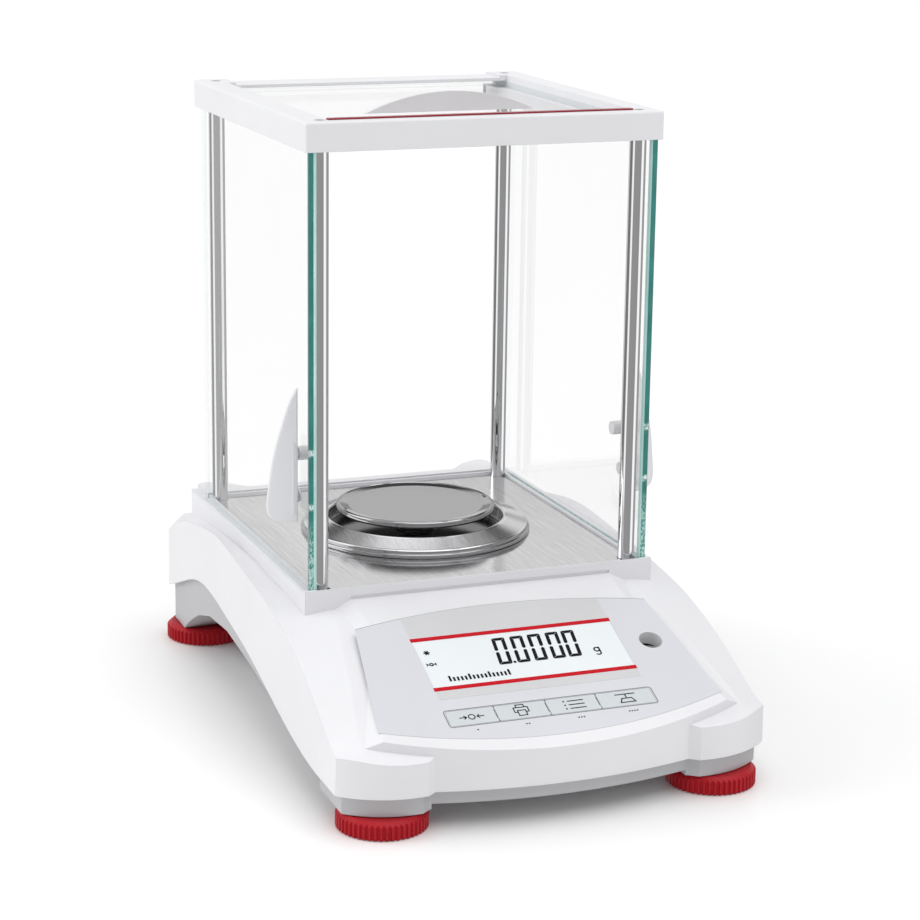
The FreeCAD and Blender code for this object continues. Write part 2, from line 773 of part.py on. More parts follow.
def weighing_pan():
    """Round steel pan, a shallow dish with a rounded rim and two small side notches."""
    profile = [
        (0.0, PAN_TOP - 1.0),
        (36.6, PAN_TOP - 1.0),
        (38.6, PAN_TOP - 0.4),
        (38.8, PAN_TOP - 2.3),
        (39.6, PAN_TOP - 2.3),
        (PAN_R, PAN_TOP - 1.8),
        (PAN_R, PAN_TOP + 0.3),
        (39.5, PAN_TOP + 0.8),
        (38.8, PAN_TOP + 1.0),
        (38.0, PAN_TOP + 0.9),
        (34.4, PAN_TOP),
        (0.0, PAN_TOP),
    ]
    pan = turned(profile, 0, PAN_Y)
    notch = box(36.6, 38.0, PAN_Y - 1.6, PAN_Y + 1.6, PAN_TOP - 3, PAN_TOP + 3)
    return pan.cut(both(notch)).removeSplitter()


def pan_hub():
    """Socket under the pan that drops over the support cone."""
    profile = [
        (5.1, 84.0),
        (9.0, 84.0),
        (9.0, 90.0),
        (16.0, 91.5),
        (16.0, PAN_TOP - 1.0),
        (0.0, PAN_TOP - 1.0),
        (0.0, 91.4),
        (3.0, 91.4),
        (5.1, 88.4),
    ]
    return turned(profile, 0, PAN_Y)


def pan_support():
    """Cone and spindle that carry the pan's weight to the load cell."""
    profile = [
        (0.0, 64.0),
        (11.0, 64.0),
        (11.0, 66.0),
        (5.0, 69.5),
        (5.0, 88.3),
        (2.9, 91.3),
        (0.0, 91.3),
    ]
    return turned(profile, 0, PAN_Y)


def draft_ring():
    """Loose polished ring round the pan, with a conical top and a stepped outer lip."""
    low = PLATE_TOP + 0.1
    profile = [
        (RING_IN, low),
        (RING_IN + 1.2, low),
        (RING_IN + 1.4, 86.9),
        (54.8, 84.0),
        (56.0, low),
        (RING_R, low),
        (RING_R, 82.9),
        (57.6, 83.5),
        (56.8, 83.6),
        (56.9, 84.5),
        (56.3, 85.2),
        (55.8, 85.3),
        (46.3, 88.5),
        (45.5, 88.8),
        (RING_IN + 0.3, 88.4),
        (RING_IN, 87.6),
    ]
    return turned(profile, 0, PAN_Y)


def base_plate():
    """Aluminium plate that stiffens the lower housing under the load cell."""
    plate = box(-50.0, 50.0, -44.0, 120.0, TRAY_FLOOR, TRAY_FLOOR + 3.0)
    return plate.cut(rod(0, PAN_Y, 10, 20, HOOK_HOLE_R))


def load_cell():
    """Machined weighing cell with its slotted lever arms."""
    low = TRAY_FLOOR + 3.0
    block = box(-30.0, 30.0, -36.0, 62.0, low, 64.0)
    for z in (26.0, 40.0, 54.0):
        block = block.cut(box(-31, 31, -22.0, 50.0, z, z + 2.0))
    block = block.cut(box(-12.0, 12.0, -12.0, 22.0, low + 6.0, 66.0))
    block = block.cut(rod(0, PAN_Y, 10, 24, 9.0))
    return block.removeSplitter()


def magnet():
    """Pot magnet of the weighing cell."""
    low = TRAY_FLOOR + 3.0
    pot = rod(0, MAGNET_Y, low, 50.0, 22.0)
    return pot.cut(rod(0, MAGNET_Y, 36.0, 51.0, 15.0)).fuse(rod(0, MAGNET_Y, 36.0, 47.0, 11.0)).removeSplitter()


def coil():
    """Force coil that moves in the pot magnet's gap."""
    ring = rod(0, MAGNET_Y, 38.0, 54.0, 13.6).cut(rod(0, MAGNET_Y, 37.0, 60.0, 12.2))
    arm = box(-5.0, 5.0, 62.0, 76.6, 51.0, 54.0)
    return ring.fuse(arm).removeSplitter()


def main_board():
    """Main circuit board on the floor of the lower housing."""
    board = box(-50.0, 50.0, -124.0, -52.0, 18.0, 19.6)
    legs = []
    for x in (-45.0, 45.0):
        for y in (-119.0, -57.0):
            legs.append(rod(x, y, TRAY_FLOOR, 18.0, 2.6))
    chips = [
        box(-22.0, -4.0, -98.0, -80.0, 19.6, 21.4),
        box(14.0, 26.0, -92.0, -80.0, 19.6, 21.2),
        box(-40.0, -30.0, -112.0, -100.0, 19.6, 27.0),
    ]
    return board.fuse(legs + chips).removeSplitter()


# ---------------------------------------------------------------- ports and covers


def power_inlet():
    """Round low-voltage power inlet."""
    body = box(-47.0, -37.0, 136.0, PORT_Y, PORT_Z - 5.0, PORT_Z + 5.0)
    body = body.cut(rod_y(-42.0, 139.0, PORT_Y + 1, PORT_Z, 3.1))
    return body.fuse(rod_y(-42.0, 138.0, PORT_Y - 1.0, PORT_Z, 1.0)).removeSplitter()


def serial_port():
    """Nine-pin serial socket."""
    flange = box(-15.8, 15.8, PORT_Y - 2.0, PORT_Y - 1.0, PORT_Z - 5.4, PORT_Z + 5.4)
    points = [(-8.6, 3.9), (8.6, 3.9), (7.6, -3.9), (-7.6, -3.9)]
    face = Part.Face(polygon([(x, 140.0, PORT_Z + z) for x, z in points]))
    nose = face.extrude(V(0, PORT_Y + 4.0 - 140.0, 0))
    hollow = [(-7.9, 3.2), (7.9, 3.2), (7.0, -3.2), (-7.0, -3.2)]
    face = Part.Face(polygon([(x, PORT_Y - 0.5, PORT_Z + z) for x, z in hollow]))
    shell = flange.fuse(nose).cut(face.extrude(V(0, 6, 0)))
    for column in range(5):
        shell = shell.fuse(rod_y((column - 2) * 2.7, PORT_Y - 1.0, PORT_Y + 3.0, PORT_Z + 1.4, 0.5))
    for column in range(4):
        shell = shell.fuse(rod_y((column - 1.5) * 2.7, PORT_Y - 1.0, PORT_Y + 3.0, PORT_Z - 1.4, 0.5))
    for x in (-12.5, 12.5):
        shell = shell.fuse(rod_y(x, PORT_Y - 1.0, PORT_Y + 3.0, PORT_Z, 2.3))
    return shell.removeSplitter()


def usb_port():
    """Square data socket."""
    body = box(32.0, 44.0, 134.0, PORT_Y, PORT_Z - 5.4, PORT_Z + 5.4)
    body = body.cut(box(33.8, 42.2, 141.0, PORT_Y + 1, PORT_Z - 3.9, PORT_Z + 3.9))
    return body.fuse(box(35.2, 40.8, 140.0, PORT_Y - 0.6, PORT_Z - 1.6, PORT_Z + 1.6)).removeSplitter()


def hook_cover():
    """Cover of the weigh-below opening."""
    cover = rod(0, PAN_Y, TRAY_LOW - 0.3, TRAY_LOW + 1.1, 15.0)
    return cover.cut(box(-6.0, 6.0, PAN_Y - 0.7, PAN_Y + 0.7, 10.0, TRAY_LOW + 0.4))


# ---------------------------------------------------------------- feet


def knurled_disc(z0, z1):
    """Disc with a ribbed rim."""
    points = []
    for rib in range(FOOT_RIBS):
        for share, radius in ((0.0, 19.9), (0.3, 19.9), (0.48, FOOT_R), (0.82, FOOT_R)):
            angle = 2 * math.pi * (rib + share) / FOOT_RIBS
            points.append((radius * math.cos(angle), radius * math.sin(angle), z0))
    return Part.Face(polygon(points)).extrude(V(0, 0, z1 - z0))


def foot_wheel(x, y):
    """Red ribbed wheel that the fingers turn."""
    disc = knurled_disc(0.5, FOOT_H)
    cone = turned([(0, 0), (FOOT_R + 1, 0), (FOOT_R + 1, 5.6), (18.4, FOOT_H), (0, FOOT_H)], 0, 0)
    wheel = disc.common(cone)
    wheel = wheel.cut(rod(0, 0, 0, 1.9, 16.2))
    wheel = wheel.cut(rod(0, 0, 0, 20, STUD_R))
    wheel.translate(V(x, y, 0))
    return wheel


def foot_stud(x, y):
    """Threaded stud moulded into the wheel."""
    return turned([(0, 2.2), (STUD_R, 2.2), (STUD_R, 21.0), (3.2, 22.0), (0, 22.0)], x, y)


def foot_pad(x, y):
    """Rubber pad that stands on the bench."""
    return turned([(0, 0), (15.2, 0), (15.8, 0.6), (15.8, 1.7), (0, 1.7)], x, y)


def foot_inserts():
    """Four threaded brass inserts in the lower housing."""
    parts = []
    for x in (-FOOT_X, FOOT_X):
        for y in (FOOT_FRONT, FOOT_BACK):
            tube = rod(x, y, BOSS_LOW + 0.2, INSERT_TOP, INSERT_R)
            parts.append(tube.cut(rod(x, y, 0, 40, STUD_R + 0.05)))
    return Part.makeCompound(parts)


def foot_nodes():
    """All parts of the four feet, by name."""
    found = {}
    for side, x in (("left", -FOOT_X), ("right", FOOT_X)):
        for end, y in (("front", FOOT_FRONT), ("rear", FOOT_BACK)):
            name = f"{end}_{side}"
            found[f"foot_wheel_{name}"] = foot_wheel(x, y)
            found[f"foot_stud_{name}"] = foot_stud(x, y)
            found[f"foot_pad_{name}"] = foot_pad(x, y)
    return found


# ---------------------------------------------------------------- assembly


def housing_nodes():
    """Fixed parts of the body."""
    return {
        "upper_housing": upper_housing(),
        "lower_housing": lower_housing(),
        "housing_screws": housing_screws(),
        "overlay_film": overlay_film(),
        "display_window": display_window(),
        "display_glass": display_glass(),
        "display_backlight": display_backlight(),
        "display_board": display_board(),
        "key_switches": key_switches(),
        "level_cup": level_cup(),
        "level_vial": level_vial(),
        "base_plate": base_plate(),
        "load_cell": load_cell(),
        "magnet": magnet(),
        "coil": coil(),
        "pan_support": pan_support(),
        "main_board": main_board(),
        "power_inlet": power_inlet(),
        "serial_port": serial_port(),
        "usb_port": usb_port(),
        "hook_cover": hook_cover(),
        "floor_plate": floor_plate(),
        "foot_inserts": foot_inserts(),
    }


def shield_nodes():
    """Draft shield, doors and handles."""
    return {
        "post_front_left": post(-POST_X, POST_FRONT),
        "post_front_right": post(POST_X, POST_FRONT),
        "post_rear_left": post(-POST_X, POST_BACK),
        "post_rear_right": post(POST_X, POST_BACK),
        "top_frame": top_frame(),
        "frame_screws": frame_screws(),
        "front_pane": front_pane(),
        "back_pane": back_pane(),
        "door_glass_right": door_glass(),
        "door_handle_right": door_handle(),
        "handle_caps_right": handle_caps(),
        "door_glass_left": flip(door_glass()),
        "door_handle_left": flip(door_handle()),
        "handle_caps_left": flip(handle_caps()),
        "top_glass": top_glass(),
        "top_edge_strip": top_edge_strip(),
        "top_grip": top_grip(),
    }


def loose_nodes():
    """Pan, ring and keys."""
    return {
        "weighing_pan": weighing_pan(),
        "pan_hub": pan_hub(),
        "draft_ring": draft_ring(),
        "key_zero": key_cap(0),
        "key_print": key_cap(1),
        "key_function": key_cap(2),
        "key_tare": key_cap(3),
    }


def build():
    """Writes every node to the parts folder."""
    os.makedirs("parts", exist_ok=True)
    nodes = {**housing_nodes(), **shield_nodes(), **loose_nodes(), **foot_nodes()}
    for name, shape in nodes.items():
        shape.exportStep(f"parts/{name}.step")
        size = shape.BoundBox
        print(f"{name}: {len(shape.Solids)} solid(s), valid {shape.isValid()}, "
              f"x {size.XMin:.1f} {size.XMax:.1f}, y {size.YMin:.1f} {size.YMax:.1f}, "
              f"z {size.ZMin:.1f} {size.ZMax:.1f}")


build()
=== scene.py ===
import json
import math

import bmesh
import bpy
from mathutils import Matrix, Vector


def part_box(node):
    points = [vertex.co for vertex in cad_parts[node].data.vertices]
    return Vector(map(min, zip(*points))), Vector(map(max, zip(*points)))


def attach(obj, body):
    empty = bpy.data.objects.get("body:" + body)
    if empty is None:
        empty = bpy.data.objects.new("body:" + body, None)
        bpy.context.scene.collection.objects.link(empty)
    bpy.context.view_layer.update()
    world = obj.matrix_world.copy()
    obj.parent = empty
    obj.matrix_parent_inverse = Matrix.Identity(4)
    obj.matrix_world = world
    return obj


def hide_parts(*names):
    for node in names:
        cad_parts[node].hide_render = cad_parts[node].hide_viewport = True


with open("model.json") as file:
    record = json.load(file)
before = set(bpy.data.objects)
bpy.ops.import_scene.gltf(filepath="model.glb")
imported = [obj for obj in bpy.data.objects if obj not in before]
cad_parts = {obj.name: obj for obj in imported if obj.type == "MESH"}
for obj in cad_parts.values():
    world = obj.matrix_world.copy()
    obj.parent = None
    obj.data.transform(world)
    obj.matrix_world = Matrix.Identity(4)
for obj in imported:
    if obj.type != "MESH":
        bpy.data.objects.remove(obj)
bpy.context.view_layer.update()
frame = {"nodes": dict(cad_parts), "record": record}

MM = 0.001

# Camera, worked out from the straight edges of the draft shield
EYE = Vector((-443.45, -1151.40, 442.73)) * MM
LOOK_AZIMUTH = math.radians(-21.45)
LOOK_DOWN = math.radians(14.41)
ROLL = math.radians(0.8)
LENS = 101.70
SENSOR = 36.0

# Console, in millimetres: x across, s up the slope from its foot
TILT = math.radians(23.0)
PANEL_FOOT = Vector((0.0, -142.8, 44.1))
LCD_HALF = 49.5
FILM_TOP_HALF = 73.0
FILM_TOP_S = 68.2
FILM_CROWN_S = 76.0
BAND_LOW_S = 15.9
BAND_STEPS = 24
STRIP_HALF = 50.0
STRIPS = ((55.4, 57.8), (21.5, 23.9))
WINDOW_LOW_S = 21.4
WINDOW_HIGH_S = 57.8
FILM_EDGE_STEPS = 36
LEVEL_X = 64.2
LEVEL_S = 39.4
LEVEL_R = 5.6
SLEEVE_WALL = 0.5
SLEEVE_DEPTH = 7.0
PRINT_LOW = 0.02
PRINT_T = 0.04

# Reading on the display
DIGITS_X = (-11.8, -2.8, 5.9, 14.9, 22.9)
DIGIT_LOW_S = 34.2
DIGIT_W = 6.4
DIGIT_H = 18.0
DIGIT_SLANT = 2.0
SEGMENT_T = 1.72
SEGMENT_GAP = 0.14
SEGMENT_CUT = 0.5
SEGMENT_TIP = 0.6
WAIST_GAP = 0.35
POINT = (-6.1, 35.0)
POINT_R = 0.75
UNIT = (35.7, 35.0)
UNIT_SIZE = 4.4
STAR = (-45.1, 47.4)
STAR_R = 1.5
ZERO_SIGN = (-45.4, 39.4)
ZERO_SIGN_R = 0.8
BAR_COUNT = 16
BAR_START = -40.6
BAR_STEP = 1.92
BAR_W = 1.0
BAR_LOW_S = 27.0
BAR_SHORT = 2.6
BAR_LONG = 3.7

# Keys and their signs, with the widths of printed lines
KEYS = ("key_zero", "key_print", "key_function", "key_tare")
KEY_SPLITS = (-50.2, -26.9, -2.0, 22.9, 50.2)
KEY_MIDDLES = (-38.8, -14.8, 11.2, 36.8)
KEY_LOW_S = -2.0
KEY_HIGH_S = 8.0
SPLIT_OUT = 0.52
SPLIT_W = 0.2
SPLIT_LOW_S = 0.3
SPLIT_HIGH_S = 6.3
OUTLINE_HALF = 50.75
OUTLINE_OUT = 0.45
OUTLINE_CORNER = 1.4
NOTE_S = -5.6
NOTE_R = 0.42
NOTE_STEP = 1.3
SHADOW_LINE = 0.22
OUTLINE_LINE = 0.42
ICON_LINE = 0.5
BOLD_LINE = 0.55
RING_LINE = 0.6
SIGN_LINE = 0.7

# Draft shield, pan and ring, in millimetres
PAN_Y = 38.2
PAN_TOP = 93.7
PAN_R = 40.0
RING_IN = 44.05
RING_OUT = 58.0
PLATE_TOP = 81.3
# Disc of painted shade on the floor plate under the pan, fading out at the second radius
PAINTED_SHADE_R = 42.0
PAINTED_SHADE_FADE_R = 44.5
ARRIS_SIZE = 0.30
EDGE_LOW = 80.0
EDGE_HIGH = 160.0
PIN_HEIGHTS = (122.4, 148.0)
PIN_HALF = 0.8
PIN_FADE_HALF = 2.0
NOTCH_IN = 36.75
NOTCH_OUT = 37.95
NOTCH_HALF = 1.6
NOTCH_DEPTH = 1.6

# Fine relief of plastic and of metal and half the ground's width, in metres
GRAIN_DEPTH = 0.00008
LINE_DEPTH = 0.00006
FLOOR_HALF = 6.0

# Noise: stretch of an even pattern, and scale of a slow change of tone
EVEN = (1.0, 1.0, 1.0)
TONE_SCALE = 22.0

# Material numbers of a pane's faces, the pan's and the ring's
GLASS_FACE, GLASS_DEEP, GLASS_PAINTED_HIGHLIGHT, GLASS_CLEAR, GLASS_PAINTED_SHADE = range(5)
PAN_FACE, PAN_RIM, PAN_UNDER = range(3)
RING_FACE, RING_LIP, RING_SIDE = range(3)

# Room: its light on matt things, and what metal mirrors below the horizon by
# bearing in degrees and above it by the height of the direction
DIFFUSE_ROOM = 0.61
LOWER_ROOM = (
    (-180, 0.2), (-158, 0.2), (-152, 1.0), (-129, 1.0), (-126, 0.25), (-76, 0.25), (-72, 1.4), (-48, 1.4),
    (-42, 0.42), (52, 0.40), (58, 1.4), (92, 1.4), (97, 0.45), (150, 0.45), (156, 0.2), (180, 0.2),
)
UPPER_ROOM = (
    (0.0, 0.95), (0.14, 0.95), (0.17, 0.45), (0.235, 0.50), (0.258, 1.0), (0.42, 1.0), (0.48, 0.10),
    (0.58, 0.10), (0.61, 0.42), (0.72, 0.48), (0.76, 1.25), (0.81, 1.45), (0.87, 1.0), (1.0, 0.95),
)


# ------------------------------------------------------------------ materials


def add_ramp(tree, value, stops):
    """Ramp through the stops, each a place from 0 to 1 and a grey level or a colour."""
    node = tree.nodes.new("ShaderNodeValToRGB")
    tree.links.new(value, node.inputs["Fac"])
    while len(node.color_ramp.elements) < len(stops):
        node.color_ramp.elements.new(0.5)
    for element, (where, colour) in zip(node.color_ramp.elements, stops):
        element.position = where
        element.color = (*colour, 1.0) if isinstance(colour, tuple) else (colour, colour, colour, 1.0)
    return node.outputs["Color"]


class Nodes:
    """Short way to build one material's node tree."""

    def __init__(self, name):
        self.material = bpy.data.materials.new(name)
        self.material.use_nodes = True
        self.tree = self.material.node_tree
        self.shader = self.tree.nodes["Principled BSDF"]
        self.place = self.tree.nodes.new("ShaderNodeTexCoord").outputs["Object"]

    def set(self, **values):
        for key, value in values.items():
            socket = self.shader.inputs[key.replace("_", " ")]
            socket.default_value = (*value, 1.0) if isinstance(value, tuple) and len(value) == 3 else value

    def link(self, source, target):
        self.tree.links.new(source, target)

    def noise(self, scale, stretch=EVEN, detail=3.0, rough=0.5):
        mapping = self.tree.nodes.new("ShaderNodeMapping")
        mapping.inputs["Scale"].default_value = stretch
        texture = self.tree.nodes.new("ShaderNodeTexNoise")
        texture.inputs["Scale"].default_value = scale
        texture.inputs["Detail"].default_value = detail
        texture.inputs["Roughness"].default_value = rough
        self.link(self.place, mapping.inputs["Vector"])
        self.link(mapping.outputs["Vector"], texture.inputs["Vector"])
        return texture.outputs["Fac"]

    def height(self, low, high):
        """0 at the lower height in millimetres, 1 at the higher."""
        split = self.tree.nodes.new("ShaderNodeSeparateXYZ")
        self.link(self.place, split.inputs["Vector"])
        return self.spread(split.outputs["Z"], 0.0, 1.0, low * MM, high * MM)

    def near(self, centre, inside, outside):
        """1 within the first distance in millimetres of a point, 0 beyond the second."""
        node = self.tree.nodes.new("ShaderNodeVectorMath")
        node.operation = "DISTANCE"
        node.inputs[1].default_value = [c * MM for c in centre]
        self.link(self.place, node.inputs[0])
        return self.spread(node.outputs["Value"], 1.0, 0.0, inside * MM, outside * MM)

    def times(self, first, second):
        """Product of two values."""
        node = self.tree.nodes.new("ShaderNodeMath")
        node.operation = "MULTIPLY"
        self.link(first, node.inputs[0])
        self.link(second, node.inputs[1])
        return node.outputs["Value"]

    def ramp(self, value, stops):
        return add_ramp(self.tree, value, stops)

    def spread(self, value, low, high, start=0.0, end=1.0):
        node = self.tree.nodes.new("ShaderNodeMapRange")
        node.inputs["From Min"].default_value = start
        node.inputs["From Max"].default_value = end
        node.inputs["To Min"].default_value = low
        node.inputs["To Max"].default_value = high
        self.link(value, node.inputs["Value"])
        return node.outputs["Result"]

    def mix(self, share, first, second):
        """First colour where the share is 0, second where it is 1."""
        node = self.tree.nodes.new("ShaderNodeMix")
        node.data_type = "RGBA"
        self.link(share, node.inputs["Factor"])
        self.link(first, node.inputs["A"])
        self.link(second, node.inputs["B"])
        return node.outputs["Result"]

    def bump(self, height, strength, distance, round_edges=0.0):
        node = self.tree.nodes.new("ShaderNodeBump")
        node.inputs["Strength"].default_value = strength
        node.inputs["Distance"].default_value = distance
        self.link(height, node.inputs["Height"])
        if round_edges:
            edge = self.tree.nodes.new("ShaderNodeBevel")
            edge.samples = 6
            edge.inputs["Radius"].default_value = round_edges * MM
            self.link(edge.outputs["Normal"], node.inputs["Normal"])
        self.link(node.outputs["Normal"], self.shader.inputs["Normal"])


def scaled(colour, factor):
    return tuple(min(1.0, c * factor) for c in colour)


def plastic(name, colour, rough, grain=1800.0, bump=0.12, vary=0.015, shine=0.5, edges=0.0):
    """Moulded plastic with a fine grain and a slight change of tone."""
    n = Nodes(name)
    tone = n.noise(TONE_SCALE, detail=2.0)
    stops = [(0.3, scaled(colour, 1 - vary)), (0.7, scaled(colour, 1 + vary))]
    n.link(n.ramp(tone, stops), n.shader.inputs["Base Color"])
    fine = n.noise(grain, detail=2.0)
    n.link(n.spread(fine, rough - 0.05, rough + 0.06), n.shader.inputs["Roughness"])
    n.bump(fine, bump, GRAIN_DEPTH, edges)
    n.set(IOR=1.47, Specular_IOR_Level=shine)
    return n.material


def metal(name, colour, rough, stretch=EVEN, scale=900.0, bump=0.1, vary=0.12, wide=0.1, shade_under_pan=False):
    """Metal whose fine lines run along the axis with the smallest stretch.

    With shade under the pan asked for, the floor plate is painted dark under the pan, inside the ring:
    painted shade where the pan shades it.
    """
    n = Nodes(name)
    lines = n.noise(scale, stretch=stretch, detail=4.0, rough=0.65)
    stops = [(0.25, scaled(colour, 1 - vary)), (0.75, scaled(colour, 1 + vary))]
    tone = n.ramp(lines, stops)
    # painted shade: the plate is painted near black under the pan
    if shade_under_pan:
        dark = n.ramp(lines, [(0.0, 0.03), (1.0, 0.06)])
        tone = n.mix(n.near((0.0, PAN_Y, PLATE_TOP), PAINTED_SHADE_R, PAINTED_SHADE_FADE_R), tone, dark)
    n.link(tone, n.shader.inputs["Base Color"])
    n.link(n.spread(lines, rough - wide * 0.5, rough + wide * 0.5), n.shader.inputs["Roughness"])
    n.bump(lines, bump, LINE_DEPTH)
    n.set(Metallic=1.0)
    return n.material


def clear_glass():
    """Face of a pane: see-through, with a sheen that grows at a glance."""
    n = Nodes("pane_glass")
    nodes = n.tree.nodes
    through = nodes.new("ShaderNodeBsdfTransparent")
    sheen = nodes.new("ShaderNodeBsdfGlossy")
    sheen.inputs["Roughness"].default_value = 0.0
    fresnel = nodes.new("ShaderNodeFresnel")
    fresnel.inputs["IOR"].default_value = 1.45
    smears = n.spread(n.noise(9.0), 0.13, 0.22)
    both = nodes.new("ShaderNodeMixShader")
    n.link(n.times(fresnel.outputs["Fac"], smears), both.inputs[0])
    n.link(through.outputs["BSDF"], both.inputs[1])
    n.link(sheen.outputs["BSDF"], both.inputs[2])
    n.link(both.outputs["Shader"], nodes["Material Output"].inputs["Surface"])
    nodes.remove(n.shader)
    return n.material


def glass_far():
    """Edge of a pane that is mostly seen through the glass, pale and half clear."""
    n = Nodes("glass_far")
    tone = n.ramp(n.noise(160.0, (1.0, 1.0, 0.3)), [(0.3, (0.36, 0.66, 0.61)), (0.7, (0.55, 0.80, 0.76))])
    n.link(tone, n.shader.inputs["Base Color"])
    n.set(Roughness=0.2, IOR=1.45, Alpha=0.10)
    return n.material


def pin_stops():
    """Ramp from the foot of a door's edge upward, 1 where the handle's pins show."""
    stops = [(EDGE_LOW, 0.0)]
    for z in PIN_HEIGHTS:
        stops += [(z - PIN_FADE_HALF, 0.0), (z - PIN_HALF, 1.0)]
        stops += [(z + PIN_HALF, 1.0), (z + PIN_FADE_HALF, 0.0)]
    return [((z - EDGE_LOW) / (EDGE_HIGH - EDGE_LOW), level) for z, level in stops]


def glass_edge():
    """Ground edge of a pane, deep green, pale and flecked near its foot and at the handle's pins."""
    n = Nodes("glass_edge")
    streaks = n.noise(260.0, (1.0, 1.0, 0.35))
    deep = n.ramp(streaks, [(0.35, (0.026, 0.20, 0.175)), (0.7, (0.042, 0.26, 0.225))])
    grit = n.noise(1500.0, (1.0, 1.0, 0.55), detail=4.0)
    flecks = n.ramp(grit, [(0.44, (0.05, 0.30, 0.26)), (0.58, (0.62, 0.86, 0.80))])
    foot = n.ramp(n.height(EDGE_LOW, EDGE_HIGH), [(0.0, 0.95), (0.30, 0.7), (0.46, 0.0)])
    pins = n.ramp(n.height(EDGE_LOW, EDGE_HIGH), pin_stops())
    specks = n.ramp(grit, [(0.40, 0.15), (0.55, 1.0)])
    pale = n.ramp(n.noise(500.0), [(0.3, (0.62, 0.82, 0.78)), (0.7, (0.9, 0.96, 0.95))])
    tone = n.mix(n.times(pins, specks), n.mix(foot, deep, flecks), pale)
    n.link(tone, n.shader.inputs["Base Color"])
    n.set(Roughness=0.3, IOR=1.5)
    return n.material


def glass_arris_painted_highlight():
    """Polished arris of a pane, with the light it catches painted on as a pale cyan highlight."""
    n = Nodes("glass_arris_painted_highlight")
    tone = n.ramp(n.noise(120.0, (1.0, 1.0, 0.2)), [(0.3, (0.42, 0.72, 0.68)), (0.7, (0.66, 0.88, 0.85))])
    n.link(tone, n.shader.inputs["Base Color"])
    n.set(Roughness=0.15, IOR=1.5)
    return n.material


WHITE = plastic("housing_white", (0.80, 0.80, 0.825), 0.42, edges=0.55)
WHITE_PART = plastic("handle_white", (0.80, 0.80, 0.825), 0.38, edges=0.8)
CAP = plastic("cap_pale", (0.72, 0.72, 0.735), 0.3, edges=0.5)
GREY = plastic("housing_grey", (0.49, 0.49, 0.505), 0.45, edges=0.5)
FILM = plastic("film_pale", (0.655, 0.66, 0.70), 0.36, grain=2600.0, bump=0.08)
BAND = plastic("film_band", (0.61, 0.61, 0.62), 0.36, grain=2600.0, bump=0.08)
KEY = plastic("key_pale", (0.60, 0.635, 0.65), 0.34, grain=2600.0, edges=0.3)
LCD = plastic("display_pale", (0.80, 0.84, 0.86), 0.22, grain=2600.0, bump=0.03)
PRINT_RED = plastic("print_red", (0.56, 0.006, 0.016), 0.4, grain=2600.0, bump=0.05, shine=0.1)
PRINT_BLACK = plastic("print_black", (0.006, 0.006, 0.008), 0.5, grain=2600.0, bump=0.05, shine=0.08)
# Grey for the printed line round the keys, and for the painted shadow line round the film
PRINT_GREY_AND_SHADOW = plastic("print_grey_and_painted_shadow", (0.20, 0.205, 0.21), 0.4, grain=2600.0, bump=0.05, shine=0.2)
RED_STRIP = plastic("strip_red", (0.33, 0.008, 0.025), 0.25, edges=0.3)
RED = plastic("foot_red", (0.44, 0.010, 0.018), 0.42, shine=0.2, edges=0.35)
GRIP = plastic("grip_grey", (0.79, 0.79, 0.805), 0.3, edges=0.4)
RUBBER = plastic("rubber_dark", (0.02, 0.02, 0.02), 0.7)
BLACK = plastic("socket_black", (0.02, 0.02, 0.022), 0.4)
BOARD = plastic("board_green", (0.02, 0.12, 0.05), 0.4)
VIAL = plastic("vial_dark", (0.16, 0.18, 0.17), 0.08, bump=0.02)
SLEEVE = plastic("sleeve_pale", (0.80, 0.80, 0.81), 0.4)
# brushed floor plate, with painted shade under the pan
STEEL_FLOOR = metal(
    "steel_floor", (0.58, 0.58, 0.585), 0.12, (1.0, 0.012, 1.0), scale=2400.0, bump=0.3, vary=0.32, shade_under_pan=True
)
STEEL_POST = metal(
    "steel_post", (0.66, 0.66, 0.67), 0.04, (1.0, 1.0, 0.01), scale=500.0, bump=0.01, vary=0.02, wide=0.02
)
STEEL_PAN = metal("steel_pan", (0.52, 0.51, 0.52), 0.36, scale=2400.0, bump=0.25, vary=0.07)
STEEL_LIP = metal("steel_lip", (0.62, 0.62, 0.625), 0.08, scale=1500.0, bump=0.03, vary=0.05, wide=0.04)
# Darkened copy of the lip steel: painted dark reflection on the pan's rim and the ring's sides and foot
STEEL_PAINTED_DARK_REFLECTION = metal("steel_painted_dark_reflection", (0.30, 0.30, 0.305), 0.08, scale=1500.0, bump=0.03, vary=0.05, wide=0.04)
STEEL_RING = metal(
    "steel_ring", (0.58, 0.58, 0.59), 0.16, (1.0, 0.02, 0.2), scale=2200.0, bump=0.2, vary=0.16
)
# Near-black steel on the pan's underside, hub and support: painted shade under the pan
STEEL_PAINTED_SHADE = metal("steel_painted_shade", (0.10, 0.10, 0.105), 0.42)
STEEL_SCREW = metal("steel_screw", (0.22, 0.22, 0.225), 0.3)
STEEL_PLAIN = metal("steel_plain", (0.55, 0.55, 0.56), 0.35)
ALUMINIUM = metal("aluminium", (0.62, 0.62, 0.63), 0.4)
BRASS = metal("brass", (0.72, 0.52, 0.24), 0.35)
COPPER = metal("copper", (0.72, 0.36, 0.2), 0.35, (1.0, 1.0, 0.1))
GLASS = clear_glass()
FAR = glass_far()
EDGE = glass_edge()
ARRIS_PAINTED_HIGHLIGHT = glass_arris_painted_highlight()
# Grey arris on the outward side of a door's front edge: painted shade
ARRIS_PAINTED_SHADE = plastic("glass_arris_painted_shade", (0.33, 0.345, 0.36), 0.2)

